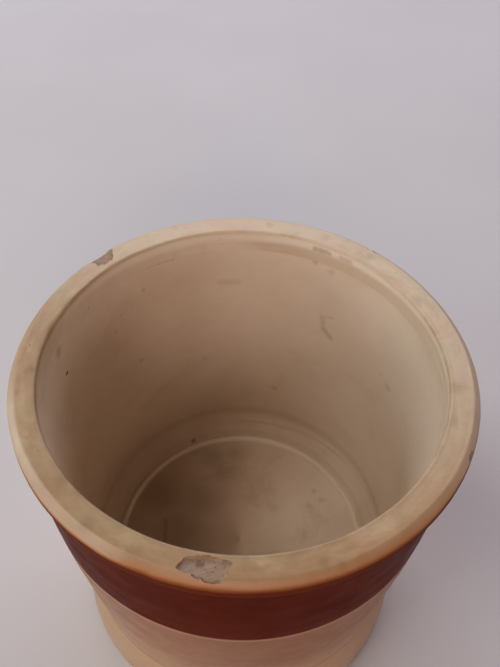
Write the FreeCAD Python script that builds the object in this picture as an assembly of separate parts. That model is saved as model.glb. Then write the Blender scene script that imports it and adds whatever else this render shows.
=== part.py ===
import FreeCAD, Part
import math
import os

# Open stoneware crock: a thrown wall with a rolled rim, a floor, a flared foot ring,
# and the four coats of glaze fired onto them.
# Millimetres. +Z is up the crock's axis and -Y is the front. The origin is the centre of
# the base, on the plane that the foot ring stands on.

# ---------------------------------------------------------------- driving dimensions
height = 192.0             # foot to rim
glaze_t = 0.8              # thickness of the glaze coats

# Rim and mouth
rim_r = 100.0              # largest outside radius, at the side of the rim
mouth_r = 88.4             # clear radius of the mouth
mouth_straight = 4.2       # length of the straight part of the mouth
mouth_edge_r = 1.2         # rounding of the rim's inner edge, in the glaze
clay_edge_r = 0.9          # the same rounding in the clay
clay_mouth_gap = 0.1       # extra glaze thickness in the mouth
rim_flat_out_r = 96.2      # outer end of the rim's flat top, where the bevel begins
clay_flat_out_r = 96.0
rim_side_top_r = 99.9      # top of the rim's side, where the bevel ends
clay_side_top_r = 99.07
rim_side_top_z = 187.9
rim_side_mid_z = 186.0     # the side reaches its full radius here
rim_side_low_z = 183.8     # bottom of the rim's side, where the brown band begins

# Outside of the wall
neck_r = 97.5              # wall just below the rim
neck_z = 179.2
band_low_r = 95.2          # lower edge of the brown band
band_low_z = 126.8

# Foot
foot_join_r = 87.4         # where the foot flares out from the wall
foot_join_z = 38.8
foot_shoulder_r = 89.9     # corner between the foot's slope and its side
foot_shoulder_z = 31.8
foot_low_r = 91.4
foot_glaze_low_z = 5.0     # the glaze stops here; the standing ring is bare clay
ring_in_r = 76.5           # inner edge of the ledge the floor rests on
ring_in_low_z = 5.0
stand_in_r = 79.5          # standing ring, inner and outer edge
stand_out_r = 89.2

# Inside of the wall
liner_top_z = 180.0        # where the rim glaze meets the liner
wall_in_top_r = 88.1
wall_in_low_r = 82.15      # bottom of the inside wall, where the cove begins
wall_in_low_z = 47.5
wall_in_mid_z = 112.0

# Floor
floor_z = 22.6             # middle of the floor
disc_r = 71.4              # floor disc, to the ridge around it
ridge_z = 25.05            # top of the ridge around the disc
moat_r = 74.5              # outer side of the shallow moat beyond the ridge
slab_r = 80.0              # floor slab inside the foot ring
slab_under_z = 9.0         # underside of the floor
slab_side_top_z = 32.0
seam_in_r = 82.9           # lap between wall and floor, inner and outer radius
seam_r = 84.6
seam_z = 45.5

# Worked-out sizes
mouth_top_z = height - mouth_edge_r
mouth_low_z = mouth_top_z - mouth_straight
clay_mouth_r = mouth_r + glaze_t + clay_mouth_gap
clay_top_z = height - glaze_t
edge_inset = mouth_edge_r * (1 - math.sqrt(0.5))   # from the square corner to the mid-arc

# Ellipsoidal chips in the rim: azimuth (degrees from +X), r and z of the centre,
# half sizes along the rim, across it and down
chips = [
    (-97.2, 94.5, 192.15, 9.9, 4.5, 1.35),   # front
    (138.0, 95.9, 192.1, 7.9, 4.4, 1.25),    # back left
    (50.2, 98.2, 191.0, 5.2, 0.9, 0.9),      # back right
    (-26.1, 100.0, 189.4, 3.4, 1.6, 1.6),    # right
]


# ---------------------------------------------------------------- helpers
def inward(points):
    """Moves profile points towards the axis by the glaze thickness."""
    return [(r - glaze_t, z) for r, z in points]


def straight(*points):
    """Straight two-point runs from each point to the next."""
    return list(zip(points, points[1:]))


def profile_edge(points):
    """A smooth edge through profile points (r, z); two points give a straight line."""
    vectors = [FreeCAD.Vector(r, 0, z) for r, z in points]
    if len(vectors) == 2:
        return Part.LineSegment(*vectors).toShape()
    spline = Part.BSplineCurve()
    spline.interpolate(vectors)
    return spline.toShape()


def lathe(runs):
    """Turns a closed profile, given as runs of points that join end to end, about Z."""
    edges = [profile_edge(run) for run in runs]
    wire = Part.Wire(Part.__sortEdges__(edges))
    solid = Part.Face(wire).revolve(FreeCAD.Vector(0, 0, 0), FreeCAD.Vector(0, 0, 1), 360)
    # The profile's direction may leave the solid inside out.
    if solid.Volume < 0:
        solid.reverse()
    return solid


def chip_cutter(azimuth, r, z, along, across, down):
    """A flattened ellipsoid lying on the rim."""
    scaling = FreeCAD.Matrix()
    scaling.scale(across, along, down)
    cutter = Part.makeSphere(1.0).transformGeometry(scaling)
    cutter.rotate(FreeCAD.Vector(0, 0, 0), FreeCAD.Vector(0, 0, 1), azimuth)
    angle = math.radians(azimuth)
    cutter.translate(FreeCAD.Vector(r * math.cos(angle), r * math.sin(angle), z))
    return cutter


def chipped(shape):
    """Cuts every rim chip out of the shape."""
    for chip in chips:
        shape = shape.cut(chip_cutter(*chip))
    return shape


# ---------------------------------------------------------------- joints (r, z)
# Points where runs meet, on the glazed surface.
floor_mid = (0.0, floor_z)
disc_edge = (disc_r - 1.4, floor_z + 0.7)
moat_edge = (moat_r, ridge_z)
wall_in_low = (wall_in_low_r, wall_in_low_z)
liner_top = (wall_in_top_r, liner_top_z)
mouth_low = (mouth_r, mouth_low_z)
mouth_top = (mouth_r, mouth_top_z)
flat_in = (mouth_r + mouth_edge_r, height)
flat_out = (rim_flat_out_r, height)
side_top = (rim_side_top_r, rim_side_top_z)
side_low = (rim_r, rim_side_low_z)
neck = (neck_r, neck_z)
band_low = (band_low_r, band_low_z)
foot_join = (foot_join_r, foot_join_z)
foot_shoulder = (foot_shoulder_r, foot_shoulder_z)
foot_low = (foot_low_r, foot_glaze_low_z)

# The same places on the clay under the glaze.
clay_floor_mid = (0.0, floor_z - glaze_t)
clay_disc_edge = (disc_r - 0.6, floor_z + 0.8 - glaze_t)
clay_liner_top = (wall_in_top_r + glaze_t, liner_top_z)
clay_mouth_low = (clay_mouth_r, mouth_low_z + 0.1)
clay_mouth_top = (clay_mouth_r, clay_top_z - clay_edge_r)
clay_flat_in = (clay_mouth_r + clay_edge_r, clay_top_z)
clay_flat_out = (clay_flat_out_r, clay_top_z)
clay_side_top = (clay_side_top_r, rim_side_top_z)
clay_side_low = (rim_r - glaze_t, rim_side_low_z + 0.2)
clay_neck, clay_band_low, clay_foot_join, clay_foot_low = inward(
    [neck, band_low, foot_join, foot_low])
clay_foot_shoulder = (foot_shoulder_r - glaze_t, foot_shoulder_z - 0.3)

# Corners between the clay pieces.
seam_in = (seam_in_r, seam_z)
seam_top = (seam_r, seam_z)
seam_low = (seam_r, foot_join_z)
slab_side_top = (slab_r, slab_side_top_z)
slab_side_low = (slab_r, slab_under_z)

# ---------------------------------------------------------------- profile runs (r, z)
# Glazed surface: from the middle of the floor, up the inside, over the rim, down the outside.
glaze_floor = [floor_mid, (40.0, floor_z + 0.2), disc_edge]
glaze_ridge = [
    disc_edge, (disc_r - 0.8, 23.75), (disc_r - 0.2, 24.5), (disc_r + 0.5, ridge_z - 0.05),
    (disc_r + 1.2, ridge_z), (disc_r + 1.9, ridge_z - 0.3), (disc_r + 2.5, ridge_z - 0.35),
    moat_edge,
]
glaze_cove = [moat_edge, (76.3, 27.5), (79.0, 33.2), (80.85, 39.0), (81.7, 43.0), wall_in_low]
glaze_wall_in = [wall_in_low, (85.12, wall_in_mid_z), liner_top]
glaze_throat = [liner_top, (88.25, 181.6), (88.42, 183.6), (88.44, 185.3), mouth_low]
glaze_edge = [mouth_top, (mouth_r + edge_inset, height - edge_inset), flat_in]
glaze_bevel = [
    flat_out, (96.7, height - 0.07), (97.1, height - 0.27), (98.0, height - 0.95),
    (98.8, height - 1.7), (99.35, height - 2.4), (99.7, height - 3.1), side_top,
]
glaze_side = [side_top, (rim_r, rim_side_mid_z), side_low]
glaze_under_rim = [side_low, (99.45, 182.2), (98.2, 180.9), neck]
glaze_band = [neck, (97.15, 170.0), (96.8, 160.0), (96.1, 142.0), band_low]
glaze_lower = [
    band_low, (94.4, 114.0), (92.85, 97.0), (91.45, 82.0), (89.75, 62.0), (88.65, 50.0),
    (87.75, 42.0), foot_join,
]
glaze_slope = [foot_join, (87.9, 37.0), (88.95, 34.0), foot_shoulder]
glaze_foot = [foot_shoulder, (90.6, 24.0), (91.1, 14.0), foot_low]

# Clay surface under the glaze, in the same order.
clay_floor = [clay_floor_mid, (40.0, floor_z + 0.2 - glaze_t), clay_disc_edge]
clay_cove = [
    clay_disc_edge, (73.4, 23.95), (76.35, 26.6), (79.7, 32.9), (81.6, 39.3), (82.5, 43.3),
    seam_in,
]
clay_wall_in = [seam_in, (85.98, wall_in_mid_z), clay_liner_top]
clay_throat = [clay_liner_top, (89.15, 181.6), (89.3, 183.6), (89.33, 185.5), clay_mouth_low]
clay_edge = [clay_mouth_top, (clay_mouth_r + 0.26, clay_top_z - 0.26), clay_flat_in]
clay_bevel = [
    clay_flat_out, (96.6, height - 0.98), (97.4, height - 1.5), (98.2, height - 2.2),
    (98.75, height - 2.95), clay_side_top,
]
clay_side = [clay_side_top, (rim_r - glaze_t, rim_side_mid_z), clay_side_low]
clay_under_rim = [clay_side_low, (98.7, 182.6), (97.5, 181.4), clay_neck]
clay_band = inward(glaze_band)
clay_lower = inward(glaze_lower)
clay_slope = [clay_foot_join, (87.9 - glaze_t, 36.8), (88.95 - glaze_t, 33.7),
              clay_foot_shoulder]
clay_foot = [clay_foot_shoulder] + inward(glaze_foot[1:])

# Bare clay at the outer and inner sides of the standing ring.
clay_heel = [clay_foot_low, (90.5, 2.6), (90.1, 0.8), (stand_out_r, 0.0)]
ring_inner_side = [(stand_in_r, 0.0), (78.2, 0.5), (77.2, 2.0), (ring_in_r, ring_in_low_z)]


# ---------------------------------------------------------------- the three clay pieces
def stoneware_wall():
    """The wall laps over the edge of the floor and stands on the foot ring."""
    return chipped(lathe([
        clay_wall_in, clay_throat, (clay_mouth_low, clay_mouth_top), clay_edge,
        (clay_flat_in, clay_flat_out), clay_bevel, clay_side, clay_under_rim, clay_band,
        clay_lower,
        *straight(clay_foot_join, seam_low, seam_top, seam_in),
    ]))


def stoneware_floor():
    """A slab with an upturned cove, let into the foot ring."""
    return lathe([
        clay_floor, clay_cove,
        *straight(seam_in, seam_top, seam_low, slab_side_top, slab_side_low,
                  (0.0, slab_under_z), clay_floor_mid),
    ])


def stoneware_foot_ring():
    """Flared outside, a standing ring below and a ledge that carries the floor."""
    return lathe([
        clay_slope, clay_foot, clay_heel,
        ((stand_out_r, 0.0), (stand_in_r, 0.0)),
        ring_inner_side,
        *straight((ring_in_r, ring_in_low_z), (ring_in_r, slab_under_z), slab_side_low,
                  slab_side_top, seam_low, clay_foot_join),
    ])


# ---------------------------------------------------------------- the four coats of glaze
def liner_glaze():
    """Covers the floor and the inside wall up to the throat."""
    return lathe([
        glaze_floor, glaze_ridge, glaze_cove, glaze_wall_in,
        (liner_top, clay_liner_top),
        clay_wall_in, clay_cove, clay_floor,
        (clay_floor_mid, floor_mid),
    ])


def rim_glaze():
    """Wraps the rim from the throat to the bottom of its side."""
    return chipped(lathe([
        glaze_throat, (mouth_low, mouth_top), glaze_edge, (flat_in, flat_out), glaze_bevel,
        glaze_side,
        (side_low, clay_side_low),
        clay_side, clay_bevel, (clay_flat_out, clay_flat_in), clay_edge,
        (clay_mouth_top, clay_mouth_low), clay_throat,
        (clay_liner_top, liner_top),
    ]))


def brown_band_glaze():
    """Covers the underside of the rim and the upper wall, outside."""
    return lathe([
        glaze_under_rim, glaze_band,
        (band_low, clay_band_low),
        clay_band, clay_under_rim,
        (clay_side_low, side_low),
    ])


def lower_body_glaze():
    """Covers the outside from the brown band down to the bare standing ring."""
    return lathe([
        glaze_lower, glaze_slope, glaze_foot,
        (foot_low, clay_foot_low),
        clay_foot, clay_slope, clay_lower,
        (clay_band_low, band_low),
    ])


# ---------------------------------------------------------------- write the parts
os.makedirs("parts", exist_ok=True)
for build in (stoneware_wall, stoneware_floor, stoneware_foot_ring,
              liner_glaze, rim_glaze, brown_band_glaze, lower_body_glaze):
    shape = build()
    # A cut returns a compound; a lone solid is written without it.
    if len(shape.Solids) == 1:
        shape = shape.Solids[0]
    shape.exportStep("parts/" + build.__name__ + ".step")
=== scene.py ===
"""Looks of an open stoneware crock: thrown clay under four coats of glaze, with a chipped rim.

The crock stands on z = 0, centred on the z axis. The camera is in front, at -y; +x is right.
Profiles and relief are in millimetres, meshes and shader positions in metres.
"""

import math
from functools import cached_property

import bmesh
import bpy
import numpy as np
from mathutils import Matrix, Vector


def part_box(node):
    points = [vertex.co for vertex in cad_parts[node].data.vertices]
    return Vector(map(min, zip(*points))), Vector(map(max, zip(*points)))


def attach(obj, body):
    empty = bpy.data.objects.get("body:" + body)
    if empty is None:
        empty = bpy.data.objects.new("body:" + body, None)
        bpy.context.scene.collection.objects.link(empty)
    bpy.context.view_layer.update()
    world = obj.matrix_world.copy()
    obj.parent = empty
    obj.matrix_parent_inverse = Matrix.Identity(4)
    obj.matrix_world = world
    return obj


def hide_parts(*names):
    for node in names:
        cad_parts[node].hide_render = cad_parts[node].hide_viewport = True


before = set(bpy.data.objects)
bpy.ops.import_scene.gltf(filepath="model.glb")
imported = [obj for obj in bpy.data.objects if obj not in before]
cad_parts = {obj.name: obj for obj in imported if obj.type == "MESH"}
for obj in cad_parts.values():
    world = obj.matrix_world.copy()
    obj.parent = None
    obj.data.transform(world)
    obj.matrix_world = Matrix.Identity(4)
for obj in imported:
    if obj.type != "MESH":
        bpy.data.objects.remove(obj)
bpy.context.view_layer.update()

scene = bpy.context.scene
TAU = 2 * math.pi
MM = 0.001

# driving heights from the frame: top_z in metres, the others in mm
top_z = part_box("rim_glaze")[1].z
TOP = top_z / MM
SIDE_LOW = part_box("brown_band_glaze")[1].z / MM     # the rim's side ends, the brown band begins
BAND_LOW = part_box("brown_band_glaze")[0].z / MM
GLAZE_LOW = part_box("lower_body_glaze")[0].z / MM    # the foot is bare below this


# ------------------------------------------------------------------ curves
def spline(points, step):
    """Centripetal Catmull-Rom curve through points, sampled about step apart."""
    knots = np.array(points, float)
    if len(knots) == 2:
        count = max(1, int(math.ceil(np.linalg.norm(knots[1] - knots[0]) / step)))
        t = np.linspace(0, 1, count + 1)[:, None]
        return knots[0] * (1 - t) + knots[1] * t

    def blend(t, start, end, first, second):
        return (end - t) / (end - start) * first + (t - start) / (end - start) * second

    padded = np.vstack([2 * knots[0] - knots[1], knots, 2 * knots[-1] - knots[-2]])
    out = []
    for i in range(1, len(padded) - 2):
        before, here, there, after = padded[i - 1:i + 3]
        t_here = np.linalg.norm(here - before) ** 0.5
        t_there = t_here + np.linalg.norm(there - here) ** 0.5
        t_after = t_there + np.linalg.norm(after - there) ** 0.5
        count = max(1, int(math.ceil(np.linalg.norm(there - here) / step)))
        for t in np.linspace(t_here, t_there, count, endpoint=False):
            leg_in = blend(t, 0, t_here, before, here)
            leg_mid = blend(t, t_here, t_there, here, there)
            leg_out = blend(t, t_there, t_after, there, after)
            near = blend(t, 0, t_there, leg_in, leg_mid)
            far = blend(t, t_here, t_after, leg_mid, leg_out)
            out.append(blend(t, t_here, t_there, near, far))
    out.append(knots[-1])
    return np.array(out)


def join(*runs):
    """Joins sampled runs end to end, dropping the doubled points."""
    out = [runs[0]]
    for run in runs[1:]:
        doubled = np.linalg.norm(run[0] - out[-1][-1]) < 1e-6
        out.append(run[1:] if doubled else run)
    return np.vstack(out)


# ------------------------------------------------------------------ glaze faces: (radius, height)
liner_face = join(
    # floor
    spline([(0.0, 22.6), (20, 22.55), (40.0, 22.8), (70.0, 23.3)], step=1.2),
    # raised edge of the floor
    spline([(70.0, 23.3), (70.5, 23.7), (71.0, 24.45), (71.7, 25.05), (72.6, 25.2),
            (73.5, 24.95), (74.1, 24.85), (74.6, 25.15)], step=0.2),
    # cove
    spline([(74.6, 25.15), (76.3, 27.5), (79.0, 33.2), (80.85, 39.0), (81.75, 42.6),
            (82.15, 47.5)], step=0.45),
    # wall
    spline([(82.15, 47.5), (82.5, 54.0), (85.12, 112.0), (88.1, 180.0)], step=0.8))

MOUTH_R = 88.4
LIP_R = 1.2            # rounding of the rim's inner edge
BEVEL = [(96.2, TOP + 0.02), (96.7, TOP - 0.05), (97.1, TOP - 0.27), (98.0, TOP - 0.95),
         (98.8, TOP - 1.7), (99.35, TOP - 2.4), (99.7, TOP - 3.1), (99.9, TOP - 4.1)]

rim_face = join(
    # throat and mouth
    spline([(88.1, 180.0), (88.25, 181.6), (88.42, 183.6), (88.44, 185.3),
            (MOUTH_R, TOP - 5.4)], step=0.35),
    spline([(MOUTH_R, TOP - 5.4), (MOUTH_R, TOP - LIP_R)], step=0.4),
    # inner edge and top
    np.array([(MOUTH_R + LIP_R - LIP_R * math.cos(a), TOP - LIP_R + LIP_R * math.sin(a))
              for a in np.linspace(0, math.pi / 2, 12)]),
    spline([(MOUTH_R + LIP_R, TOP), (91.6, TOP + 0.05), (94.2, TOP + 0.05),
            (96.2, TOP + 0.02)], step=0.35),
    # bevel and side
    spline(BEVEL, step=0.22),
    spline([(99.9, TOP - 4.1), (100.03, TOP - 6.0), (100.0, SIDE_LOW)], step=0.35))

band_face = join(
    # under the rim, then down the band
    spline([(100.0, SIDE_LOW), (99.45, 182.2), (98.2, 180.9), (97.5, 179.2)], step=0.25),
    spline([(97.5, 179.2), (97.15, 170.0), (96.8, 160.0), (96.1, 142.0), (95.25, BAND_LOW + 1.0),
            (95.1, BAND_LOW + 0.35), (94.85, BAND_LOW)], step=0.7))

body_face = join(
    # thick upper edge and wall
    spline([(94.9, BAND_LOW), (95.2, BAND_LOW - 0.2), (95.26, BAND_LOW - 0.7),
            (95.12, BAND_LOW - 1.5), (94.93, BAND_LOW - 3.0), (94.4, 114.0), (92.85, 97.0),
            (91.45, 82.0), (89.75, 62.0), (88.65, 50.0), (87.75, 42.0), (87.4, 38.8)], step=0.7),
    # flare, then the side of the foot
    spline([(87.4, 38.8), (87.85, 37.0), (88.75, 34.2), (89.5, 31.8)], step=0.3),
    spline([(89.5, 31.8), (90.0, 29.2), (90.55, 24.0), (91.1, 14.0), (91.4, GLAZE_LOW + 1.2),
            (91.25, GLAZE_LOW + 0.4), (90.75, GLAZE_LOW)], step=0.5))

# ------------------------------------------------------------------ clay faces: (radius, height)
# corners where the wall, the foot ring and the floor slab meet inside the clay
STEP_IN, STEP_OUT = (82.9, 45.5), (84.6, 45.5)
SEAT_IN, SEAT_OUT = (84.6, 38.8), (86.6, 38.8)
SLAB_SIDE_HIGH, SLAB_SIDE_LOW = (80.0, 32.0), (80.0, 9.0)
RING_TOP_IN = (76.5, 9.0)

clay_well = join(  # floor and cove
    spline([(0.0, 21.8), (40.0, 22.0), (70.8, 22.6)], step=1.5),
    spline([(70.8, 22.6), (73.4, 23.8), (76.35, 26.5), (79.7, 32.9), (81.6, 39.3), (82.5, 43.3),
            STEP_IN], step=0.8))
clay_inside = spline([STEP_IN, (85.98, 112.0), (88.9, 180.0)], step=1.2)
clay_rim = join(  # throat, mouth, inner edge, top, bevel, side
    spline([(88.9, 180.0), (89.15, 181.6), (89.3, 183.6), (89.33, 185.5), (89.3, TOP - 5.3)],
           step=0.5),
    spline([(89.3, TOP - 5.3), (89.3, TOP - 1.7)], step=0.5),
    spline([(89.3, TOP - 1.7), (89.56, TOP - 1.06), (90.2, TOP - 0.8)], step=0.25),
    spline([(90.2, TOP - 0.8), (96.0, TOP - 0.8)], step=0.4),
    spline([(96.0, TOP - 0.8), (96.6, TOP - 0.98), (97.4, TOP - 1.5), (98.2, TOP - 2.2),
            (98.75, TOP - 2.95), (99.07, TOP - 4.1)], step=0.3),
    spline([(99.07, TOP - 4.1), (99.2, TOP - 6.0), (99.2, SIDE_LOW + 0.2)], step=0.4))
clay_band = join(
    spline([(99.2, SIDE_LOW + 0.2), (98.7, 182.6), (97.5, 181.4), (96.7, 179.2)], step=0.4),
    spline([(96.7, 179.2), (96.35, 170.0), (96.0, 160.0), (95.3, 142.0), (94.4, BAND_LOW)],
           step=1.2))
clay_lower = spline([(94.4, BAND_LOW), (93.6, 114.0), (92.05, 97.0), (90.65, 82.0), (88.95, 62.0),
                     (87.85, 50.0), (86.95, 42.0), SEAT_OUT], step=1.2)
clay_foot = join(  # flare and side of the foot
    spline([SEAT_OUT, (87.1, 36.8), (88.15, 33.7), (89.1, 31.5)], step=0.5),
    spline([(89.1, 31.5), (89.8, 24.0), (90.3, 14.0), (90.6, GLAZE_LOW)], step=1.0))
clay_heel = spline([(90.6, GLAZE_LOW), (90.75, 4.2), (90.6, 2.4), (90.1, 0.9), (89.3, 0.15),
                    (88.6, 0.0)], step=0.25)
ring_inside = spline([(79.5, 0.0), (78.6, 0.25), (77.6, 1.1), (76.9, 2.6), (76.5, 5.0),
                      RING_TOP_IN], step=0.4)
slab_under = spline([SLAB_SIDE_LOW, (60.0, 9.0), (30.0, 9.05), (0.0, 9.1)], step=0.8)


# ------------------------------------------------------------------ hand-thrown unevenness
def fade(value, start, end):
    """Smooth step from 0 at start to 1 at end."""
    t = np.clip((value - start) / (end - start), 0, 1)
    return t * t * (3 - 2 * t)


# how far the rim stands out beyond its radius: degrees round the pot from +x, mm
SWELL = ([-180, -150, -120, -90, -60, -45, -30, -15, 0, 15, 30, 60, 90, 115, 135, 150, 165, 180],
         [0.4, 0.2, 0.0, 0.0, 0.1, 0.3, 1.0, 1.3, 1.3, 0.9, 0.8, 1.0, 1.3, 1.1, 0.6, 0.1, 0.1, 0.4])
# how far the rim's inner edge leans in over the mouth: degrees, mm
LEAN = ([-180, -150, -120, -90, -60, -30, -15, 0, 15, 30, 60, 90, 120, 150, 165, 180],
        [0.1, 0.1, 0.3, 0.5, 0.6, 0.8, 0.5, 0.0, 0.2, 0.6, 1.4, 1.6, 1.5, 1.0, 0.4, 0.1])
# smoothing of both tables: offset in radians, weight
SMOOTHING = ((-0.16, 0.15), (-0.08, 0.22), (0.0, 0.26), (0.08, 0.22), (0.16, 0.15))


def round_table(theta, table):
    degrees, amounts = table
    return sum(np.interp((theta + offset + math.pi) % TAU - math.pi,
                         np.radians(degrees), amounts) * weight
               for offset, weight in SMOOTHING)


def warp(verts):
    """The one warp shared by every piece. verts is (n, 3) in metres."""
    x, y, z = verts[:, 0], verts[:, 1], verts[:, 2]
    theta = np.arctan2(y, x)
    radius = np.hypot(x, y)
    rise = np.clip(z / top_z, 0, 1)
    per_radius = MM / np.maximum(radius, 0.01)
    swell = round_table(theta, SWELL)
    swell *= fade(radius / MM, 89.5, 98.0) * fade(z / MM, 171.0, 184.5)
    lean = round_table(theta, LEAN)
    lean *= (1 - fade(radius / MM, 90.3, 96.5)) * fade(z / MM, 148.0, 187.0)
    # out of round, in fractions of the radius
    oval = (0.0016 * np.cos(2 * theta + 0.7) + 0.0007 * np.cos(3 * theta + 2.1)
            + 0.0003 * np.cos(5 * theta))
    scale = 1 + (swell - lean) * per_radius + rise * oval
    # the rim is not quite level, in mm
    tip = (0.28 * np.cos(theta - 2.4) + 0.14 * np.cos(2 * theta + 1.0)
           + 0.05 * np.cos(7 * theta + 0.3))
    return np.stack([x * scale, y * scale, z + rise ** 2 * MM * tip], 1)


def ripples(theta, along, *rows):
    """Seamless noise of whole turns round the pot, summed over rows, in mm.
    Row: amplitude, seed, most turns, number of waves, lowest and highest cycles per mm."""
    total = 0
    for amplitude, seed, turns, waves, low, high in rows:
        rng = np.random.default_rng(seed)
        noise = np.zeros(np.broadcast(theta, along).shape)
        for _ in range(waves):
            turn = int(rng.integers(-turns, turns + 1))
            cycles = rng.uniform(low, high)
            noise += np.sin(turn * theta + TAU * cycles * along + rng.uniform(0, TAU))
        total = total + amplitude * noise / math.sqrt(waves)
    return total


# ------------------------------------------------------------------ mesh building
def even_angles(full):
    return np.linspace(0, TAU, full, endpoint=False)


def new_object(name, data):
    obj = bpy.data.objects.new(name, data)
    scene.collection.objects.link(obj)
    return obj


def warped_object(name, verts, faces):
    mesh = bpy.data.meshes.new(name)
    mesh.from_pydata(warp(verts).tolist(), [], faces)
    work = bmesh.new()
    work.from_mesh(mesh)
    bmesh.ops.recalc_face_normals(work, faces=work.faces)
    work.to_mesh(mesh)
    work.free()
    return new_object(name, mesh)


def shade(obj):
    obj.data.shade_smooth()
    obj.data.set_sharp_from_angle(angle=math.radians(42))


def lathe(name, loop, angles, material, relief=None, moved_to=None):
    """A closed profile in mm turned about z; points on the axis become poles.
    relief(theta, radius, height) gives (radial, vertical) shifts in mm. They move the
    loop points after the first and before index moved_to."""
    on_axis = loop[:, 0] < 1e-6
    ring_ids = np.where(~on_axis)[0]
    radius = np.repeat(loop[ring_ids, 0][None, :], len(angles), 0)
    height = np.repeat(loop[ring_ids, 1][None, :], len(angles), 0)
    if relief is not None:
        moved = (ring_ids > 0) & (ring_ids < (moved_to or len(loop)))
        out, up = relief(angles[:, None], radius, height)
        radius = radius + np.where(moved, out, 0)
        height = height + np.where(moved, up, 0)
    verts = np.stack([radius * np.cos(angles)[:, None], radius * np.sin(angles)[:, None],
                      height], -1).reshape(-1, 3) * MM
    poles = {}
    for i in np.where(on_axis)[0]:
        poles[int(i)] = len(verts)
        verts = np.vstack([verts, (0, 0, loop[i, 1] * MM)])

    width = len(ring_ids)
    column = {int(i): k for k, i in enumerate(ring_ids)}
    here = np.arange(len(angles)) * width
    beside = np.roll(here, -1)
    quads, fans = [], []
    for i in range(len(loop)):
        j = (i + 1) % len(loop)
        if i in column and j in column:
            a, b = column[i], column[j]
            quads.append(np.stack([here + a, here + b, beside + b, beside + a], 1))
        elif i in poles and j in column:
            pole = np.full_like(here, poles[i])
            fans.append(np.stack([pole, here + column[j], beside + column[j]], 1))
        elif j in poles and i in column:
            pole = np.full_like(here, poles[j])
            fans.append(np.stack([here + column[i], pole, beside + column[i]], 1))
    faces = np.vstack(quads).tolist()
    for fan in fans:
        faces += fan.tolist()
    obj = warped_object(name, verts, faces)
    shade(obj)
    obj.data.materials.append(material)
    return obj


def glaze_coat(name, face, clay, angles, material, relief):
    """A coat closed by the clay face behind it; only the glaze face gets relief."""
    return lathe(name, np.vstack([face, clay[::-1]]), angles, material, relief,
                 moved_to=len(face) - 1)


# ------------------------------------------------------------------ chips in the rim
# outlines: degrees round the pot from +x, radius in mm
CHIP_FRONT = [
    (-103.1, 95.8), (-102.3, 92.2), (-100.0, 90.9), (-98.7, 90.3), (-96.4, 90.2),
    (-93.8, 90.9), (-91.3, 91.9), (-92.1, 94.4), (-93.1, 97.2), (-94.8, 98.9),
    (-95.9, 98.5), (-97.9, 97.9), (-100.1, 96.9), (-102.6, 96.4)]
CHIP_BACK_LEFT = [
    (142.6, 97.4), (141.9, 99.4), (140.5, 99.9), (138.0, 100.2), (135.0, 100.0), (133.4, 98.6),
    (134.2, 95.6), (135.6, 92.6), (137.6, 91.9), (140.2, 92.4), (141.4, 92.9), (141.0, 95.0)]
CHIP_BACK_RIGHT = [
    (53.4, 98.5), (52.0, 99.1), (50.0, 98.7), (47.6, 98.1), (47.2, 97.3), (49.8, 97.2),
    (51.8, 97.8)]
CHIP_RIGHT = [
    (-24.2, 99.9), (-24.9, 99.0), (-26.1, 98.6), (-27.4, 98.9), (-28.1, 99.9), (-27.8, 101.0),
    (-26.1, 101.5), (-24.5, 101.0)]
# where the rim needs close angles: degrees, half width in degrees
CHIP_SPOTS = [(-97.2, 7.5), (137.4, 6.5), (49.6, 5.0), (-27.0, 5.5)]
CUTTER_TOP = 4.0       # height of the cutters above the rim's surface


def bevel_height(radius):
    bevel = np.array(BEVEL)
    return np.interp(radius, bevel[:, 0], bevel[:, 1])


def fine_noise(x, y, seed, waves, low, high):
    """Plane noise; low and high are cycles per mm."""
    rng = np.random.default_rng(seed)
    out = np.zeros(np.broadcast(x, y).shape)
    power = 0
    for _ in range(waves):
        cycles = math.exp(rng.uniform(math.log(low), math.log(high)))
        heading = rng.uniform(0, TAU)
        weight = cycles ** -0.8
        across = x * math.cos(heading) + y * math.sin(heading)
        out += weight * np.sin(TAU * cycles * across + rng.uniform(0, TAU))
        power += weight * weight
    return out / math.sqrt(power)


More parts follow.
